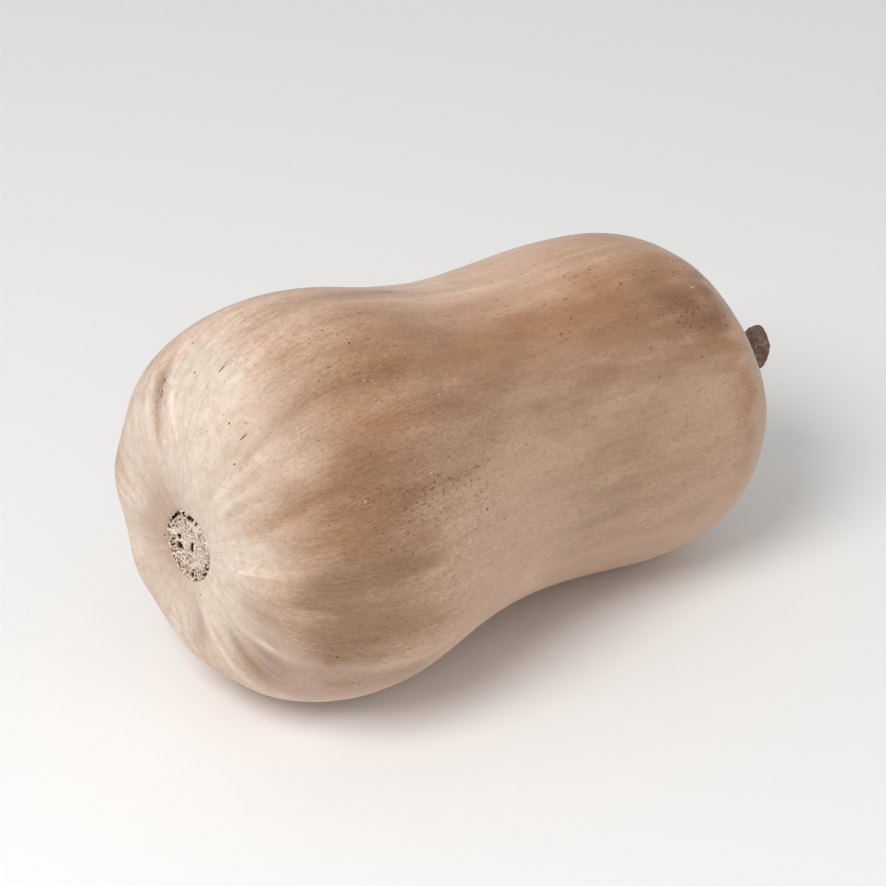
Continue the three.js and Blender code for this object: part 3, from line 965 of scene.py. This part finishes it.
blemishLook = {
    "rings": 5,
    "sides": 18,
    "crumb": (0.35, 0.1),  # size, height
    "hollowShade": 0.72,
    "ragged": (0.25, 0.15),  # how much the outlines stray, in wide and in fine waves
    # each (along the skin, around, half length, half width), and how far it is turned
    "scabs": {
        "spots": [
            (62.8, 1, 1.5, 0.3, -4), (52.8, 25.5, 1.4, 0.28, 6), (52.3, 18, 0.35, 0.35),
            (45.3, 30.5, 0.4, 0.4), (94.2, 10.5, 0.4, 0.35), (98.8, 17.5, 0.5, 0.35),
            (74.3, 125, 0.9, 0.4, 15), (65, 110.3, 0.7, 0.4, 30), (13.9, -100, 0.5, 0.4),
            (16, 158, 0.4, 0.4), (242, 40.5, 0.4, 0.5), (240.2, 44, 0.45, 0.35), (239.8, 37, 0.4, 0.35),
            (102.8, 62, 0.5, 0.35), (97.8, 62.5, 0.35, 0.25), (108.8, 62.5, 0.4, 0.25),
            (101.8, 63.2, 0.3, 0.25), (104.8, 60.8, 0.35, 0.25), (122.2, 75.5, 0.5, 0.4),
            (121.3, 70, 0.35, 0.35), (53.8, -26, 0.9, 0.4), (49.8, -25, 0.7, 0.35, 10),
            (130, 222, 1.8, 1.2), (96, 260, 1.2, 0.5), (170, 288, 1.6, 0.6, 10), (62, 200, 0.5, 0.4),
            (205, 180, 0.9, 0.7),
        ],
        "height": 0.1, "tone": colour(98, 74, 60), "roughness": 0.8,
    },
    "freckles": {
        "spots": [
            (57.8, -9.5, 0.5, 0.4), (62.3, 109.6, 0.7, 0.4), (76.8, 125.6, 0.9, 0.5), (76.8, 104, 0.5, 0.4),
            (180.3, 30.5, 0.8, 0.55), (183.6, 31, 0.5, 0.4), (181, 33, 0.4, 0.35), (191, 33, 0.6, 0.25),
            (193.6, 33.2, 0.8, 0.2), (197, 33.3, 0.9, 0.17), (200.5, 32.6, 0.9, 0.17),
            (204, 31.5, 0.6, 0.15), (227.5, 16.5, 0.9, 0.5, 20), (229.8, 16, 0.5, 0.4),
            (234.3, 18.5, 0.7, 0.5), (241, 16, 0.7, 0.4), (219.9, 16, 0.9, 0.4, 10), (207.7, 8, 0.9, 0.4),
            (197.8, 7.5, 0.6, 0.35), (200.9, 9.5, 0.9, 0.35), (218.4, 32.5, 0.7, 0.4, -20),
            (205.4, 55, 0.7, 0.3, -15), (223.7, 52.5, 0.6, 0.5), (207, 45, 0.6, 0.5), (191, 17.5, 0.7, 0.4),
            (187.2, 26, 0.8, 0.4), (227.4, 29, 0.6, 0.5), (228.8, 38, 0.8, 0.5, 20),
            (232.8, 42.5, 0.7, 0.5, 30), (234.3, 41, 0.6, 0.45), (89.8, 69.5, 0.55, 0.5),
            (88.8, 78, 0.5, 0.4), (90.4, 77.2, 0.4, 0.3), (92.8, 62, 0.4, 0.3), (212.6, 18.5, 0.8, 0.5),
            (112.8, 64, 0.4, 0.3), (95.8, 66.5, 0.4, 0.3), (105.8, 18, 0.7, 0.4), (113.8, 22, 0.6, 0.4),
            (67.8, -22, 0.5, 0.4), (79.8, 97, 0.5, 0.4, 20), (140, 205, 0.9, 0.6), (118, 286, 0.8, 0.5),
            (190, 250, 0.9, 0.7), (82, 170, 0.7, 0.5),
        ],
        "height": 0.06, "tone": colour(144, 103, 76), "roughness": 0.7,
    },
    "sapBeads": {
        "spots": [
            (94.8, 29.5, 0.35, 0.35), (97.2, 30.5, 0.3, 0.3), (102.5, 59.5, 0.45, 0.35, 20),
            (107.8, 24.5, 0.4, 0.3), (238.2, 12, 0.4, 0.25, 20), (241.2, 5, 0.4, 0.25),
            (118.3, 40, 0.3, 0.3), (77.7, 60.5, 0.35, 0.35), (60.3, -26, 0.35, 0.3),
            (54.8, -23.5, 0.3, 0.3), (57.8, -24.8, 0.3, 0.25), (120, 240, 0.5, 0.5), (80, 200, 0.4, 0.4),
            (150, 305, 0.4, 0.4),
        ],
        "height": 0.2, "tone": colour(217, 203, 190), "roughness": 0.5,
    },
    "scratches": {
        "spots": [
            (144.8, -0.2, 4, 0.22), (158.3, -0.8, 4, 0.35, -8), (236.6, 26.7, 1.8, 0.12, -11),
            (225.2, -11.5, 0.8, 0.3), (215.7, -11, 7, 0.16, -12), (226, -7, 4.5, 0.14, 50),
            (210.8, -3, 6.5, 0.16, 5), (213.8, 4.2, 5, 0.18, -8), (128, 198, 5, 0.25, 12),
            (182, 262, 4, 0.25, -10),
        ],
        "height": 0.03, "tone": colour(226, 204, 186), "roughness": 0.6,
    },
}


def blemishRings(height, middle, at, halfLong, halfWide, turned=0):  # a small dome, its rim under the skin
    look = blemishLook
    turn = np.arange(look["sides"]) * 2 * math.pi / look["sides"]
    out = np.linspace(0, 1, look["rings"] + 1)[1:, None]
    wide, fine = look["ragged"]
    ragged = 1 + wide * np.sin(2 * turn + middle) + fine * np.sin(3 * turn + at) * np.sin(5 * turn)
    along, across = halfLong * out * ragged * np.cos(turn), halfWide * out * ragged * np.sin(turn)
    lean = math.radians(turned)
    crown = np.array(float(middle)), np.array(float(at))
    top, _, radius = skinPoints(*crown, rindRelief(*crown) + height)
    arc = middle + along * math.cos(lean) - across * math.sin(lean)
    around = at + np.degrees((along * math.sin(lean) + across * math.cos(lean)) / radius)
    dome = height * (1.1 - 1.4 * out ** 2)
    rings, *_ = skinPoints(arc, around, rindRelief(arc, around) + dome)
    return top, rings


def makeBlemishes(name, spots, height, tone, roughness):
    points, faces = [], []
    for spot in spots:
        top, rings = blemishRings(height, *spot)
        index = len(points) + 1 + np.arange(rings.shape[0] * rings.shape[1]).reshape(rings.shape[:2])
        after = np.roll(index, -1, 1)
        faces += [(len(points), int(b), int(a)) for a, b in zip(index[0], after[0])]
        quads = np.stack([index[:-1], after[:-1], after[1:], index[1:]], -1)
        faces += quads.reshape(-1, 4).tolist()
        points += [top, *rings.reshape(-1, 3)]
    dress(newPiece(name, points, faces), "fruit", blemishFinish(name, tone, roughness))


def blemishFinish(name, tone, roughness):  # a crumbly crust, darker in its hollows
    look = blemishLook
    finish = Finish(name + "Crust")
    size, height = look["crumb"]
    crumb = finish.noise(finish.node("TexCoord", {}, {}, "Object"), size * mm, 3, 0.6)
    darker = (*(channel * look["hollowShade"] for channel in tone[:3]), 1)
    base = finish.mix(finish.ease(crumb, 0.55, 0.35), tone, darker)
    finish.set(BaseColor=base, Roughness=roughness, Normal=finish.bump(crumb, height))
    return finish


for name in ("scabs", "freckles", "sapBeads", "scratches"):
    makeBlemishes(name, **blemishLook[name])


# Floor, light and camera

stage = {
    "floor": 4000,
    "floorGap": 0.2,  # under the fruit, so that the two faces don't flicker
    "floorColour": colour(250, 250, 249),
    "floorRoughness": 0.9,
    "world": 0.5,
    "lit": (0, 0, 60),  # where both lights point
    "key": {"at": (-900, -300, 1100), "size": 700, "power": 12},
    "fill": {"at": (300, -1200, 500), "size": 900, "power": 0.5},
}


def makeFloor():
    radius, down = stage["floor"] * mm, -stage["floorGap"] * mm
    bpy.ops.mesh.primitive_circle_add(vertices=96, radius=radius, fill_type="NGON", location=(0, 0, down))
    floor = bpy.context.object
    floor.name = "floor"
    finish = Finish("floorPaper")
    finish.set(BaseColor=stage["floorColour"], Roughness=stage["floorRoughness"])
    floor.data.materials.append(finish.material)


def makeLight(name, at, size, power):
    data = bpy.data.lights.new(name, "AREA")
    data.shape, data.size, data.energy = "DISK", size * mm, power
    lamp = bpy.data.objects.new(name, data)
    lamp.location = Vector(at) * mm
    lamp.rotation_euler = (Vector(stage["lit"]) * mm - lamp.location).to_track_quat("-Z", "Y").to_euler()
    bpy.context.collection.objects.link(lamp)


def makeWorld():
    world = bpy.data.worlds.new("studio")
    world.use_nodes = True
    sky = world.node_tree.nodes["Background"]
    sky.inputs["Color"].default_value = (1, 1, 1, 1)
    sky.inputs["Strength"].default_value = stage["world"]
    bpy.context.scene.world = world
    bpy.context.scene.view_settings.view_transform = "Standard"


camera = {
    "azimuth": -38.96,
    "elevation": 31.49,
    "distance": 1100,
    "aim": (-11.3, 3.75, 62.2),
    "lens": 136.6,
    "sensor": 36,
}


def makeCamera():
    turn, rise = math.radians(camera["azimuth"]), math.radians(camera["elevation"])
    back = Vector((math.sin(turn) * math.cos(rise), -math.cos(turn) * math.cos(rise), math.sin(rise)))
    data = bpy.data.cameras.new("camera")
    data.lens, data.sensor_width = camera["lens"], camera["sensor"]
    made = bpy.data.objects.new("camera", data)
    made.location = (Vector(camera["aim"]) + back * camera["distance"]) * mm
    made.rotation_euler = back.to_track_quat("Z", "Y").to_euler()
    bpy.context.collection.objects.link(made)
    bpy.context.scene.camera = made


makeFloor()
makeWorld()
makeLight("keyLight", **stage["key"])
makeLight("fillLight", **stage["fill"])
makeCamera()
